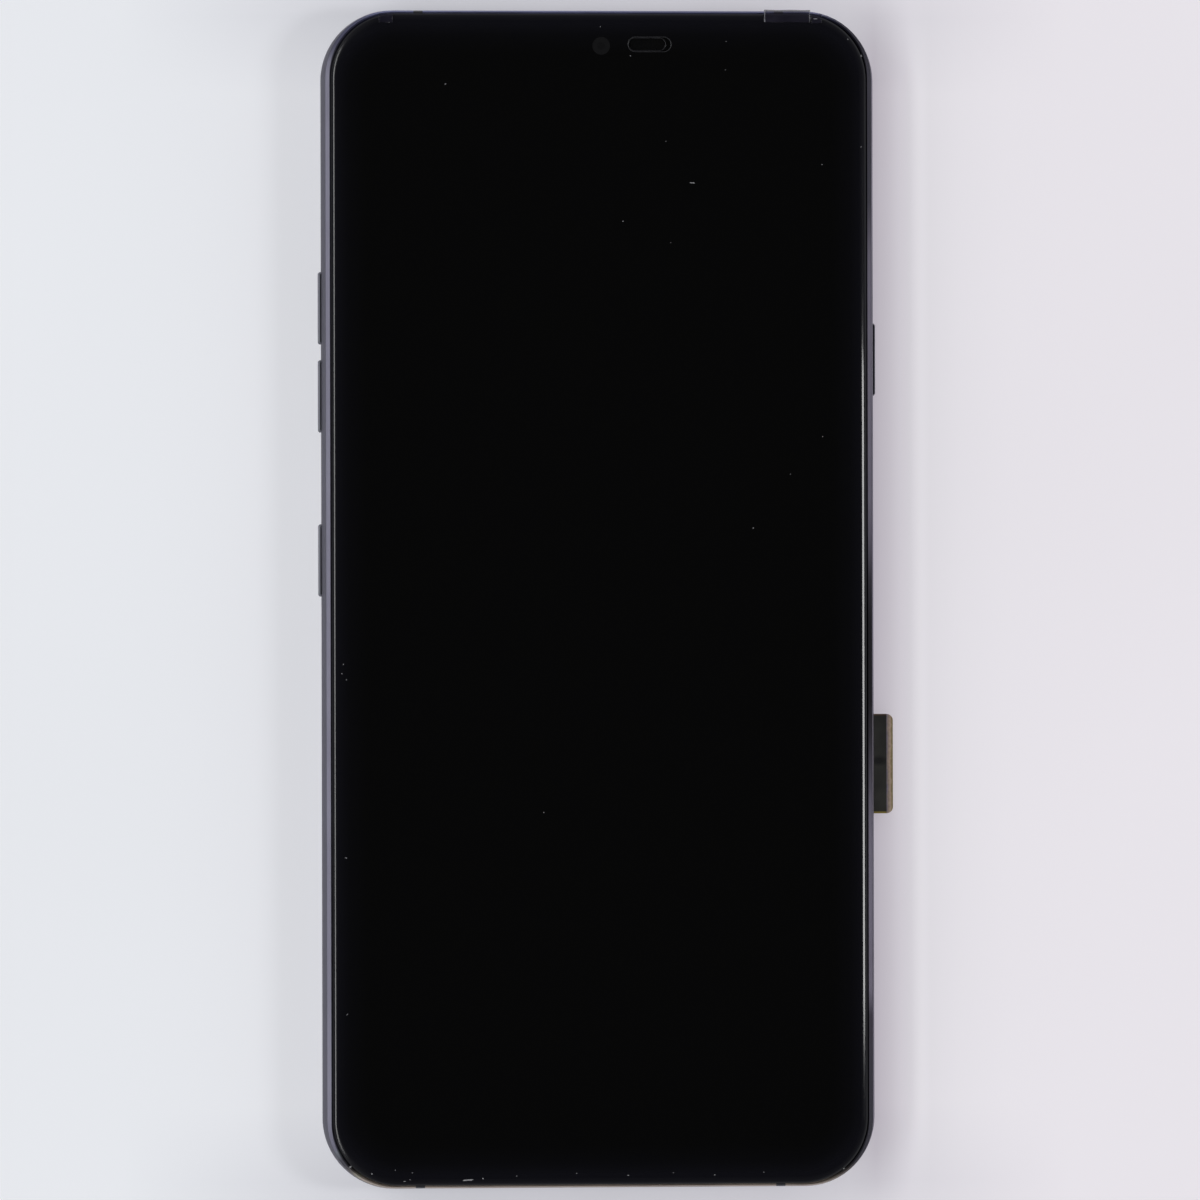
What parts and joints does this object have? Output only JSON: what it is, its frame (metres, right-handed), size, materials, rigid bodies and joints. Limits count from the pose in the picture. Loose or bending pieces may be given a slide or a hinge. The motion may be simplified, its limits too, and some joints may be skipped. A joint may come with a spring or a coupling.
{
  "type": "phone lcd screen assembly",
  "caption": "Phone display module with curved-edge front glass, side rail, middle plate, side keys and a folded flexible tail.",
  "frame": {"origin": "centre of the front glass's outer face", "axes": "+X to the right seen from the front, +Y towards the earpiece, +Z out of the screen"},
  "size_m": [0.0753, 0.1533, 0.0074],
  "materials": {
    "black_glass": "polished, black behind the glass",
    "panel_glass": "thin display glass",
    "polariser_film": "smoky film",
    "white_film": "white optical film",
    "clear_adhesive": "clear optical adhesive",
    "black_foam": "black foam tape",
    "boot_rubber": "moulded rubber",
    "tray_steel": "stamped sheet",
    "lamp_white": "small lamps on a white strip",
    "chip_black": "bare chip",
    "rail_aluminium": "grey-violet anodised, fine blasted",
    "key_aluminium": "grey-violet anodised",
    "antenna_plastic": "moulded in the rail's colour",
    "cast_alloy": "cast and milled",
    "black_plastic": "fine textured moulding",
    "insert_brass": "turned and knurled",
    "flex_film": "polyimide film with a dark cover layer",
    "stiffener_black": "dark stiffener",
    "connector_plastic": "moulded connector",
    "gold_contact": "gold plated",
    "graphite": "graphite sheet",
    "mesh_black": "blackened fine mesh",
    "switch_steel": "pressed steel domes",
    "white_tape": "release liner on adhesive",
    "clear_film": "clear protective film"
  },
  "bodies": {
    "chassis": {"cover_glass": "black_glass", "colour_filter_glass": "panel_glass", "tft_glass": "panel_glass", "front_polariser": "polariser_film", "rear_polariser": "polariser_film", "prism_film": "white_film", "diffuser_film": "white_film", "light_guide": "white_film", "reflector_film": "white_film", "backlight_frame": "white_film", "optical_adhesive": "clear_adhesive", "glass_adhesive": "black_foam", "display_foam": "black_foam", "earpiece_gasket": "black_foam", "camera_gasket": "black_foam", "sensor_boot": "boot_rubber", "backlight_tray": "tray_steel", "left_key_bracket": "tray_steel", "right_key_bracket": "tray_steel", "led_strip": "lamp_white", "driver_chip": "chip_black", "side_rail": "rail_aluminium", "antenna_breaks": "antenna_plastic", "mid_plate": "cast_alloy", "inner_moulding": "black_plastic", "threaded_inserts": "insert_brass", "display_flex": "flex_film", "left_key_flex": "flex_film", "right_key_flex": "flex_film", "flex_stiffener": "stiffener_black", "display_connector": "connector_plastic", "left_key_connector": "connector_plastic", "right_key_connector": "connector_plastic", "connector_contacts": "gold_contact", "ground_pads": "gold_contact", "graphite_sheet": "graphite", "earpiece_mesh": "mesh_black", "speaker_mesh": "mesh_black", "microphone_meshes": "mesh_black", "left_key_switches": "switch_steel", "right_key_switches": "switch_steel", "battery_adhesive": "white_tape", "film_pull_tab": "clear_film", "film_scraps": "clear_film"},
    "volume_up": {"volume_up_key": "key_aluminium"},
    "volume_down": {"volume_down_key": "key_aluminium"},
    "assistant": {"assistant_key": "key_aluminium"},
    "power": {"power_key": "key_aluminium"}
  },
  "joints": [
    {"name": "volume_up_press", "type": "slide", "parent": "chassis", "child": "volume_up", "axis": [1, 0, 0], "range_m": [0, 0.00025], "stiffness_N_per_m": 400, "springref_m": -0.0005},
    {"name": "volume_down_press", "type": "slide", "parent": "chassis", "child": "volume_down", "axis": [1, 0, 0], "range_m": [0, 0.00025], "stiffness_N_per_m": 400, "springref_m": -0.0005},
    {"name": "assistant_press", "type": "slide", "parent": "chassis", "child": "assistant", "axis": [1, 0, 0], "range_m": [0, 0.00025], "stiffness_N_per_m": 400, "springref_m": -0.0005},
    {"name": "power_press", "type": "slide", "parent": "chassis", "child": "power", "axis": [-1, 0, 0], "range_m": [0, 0.00025], "stiffness_N_per_m": 400, "springref_m": -0.0005}
  ]
}
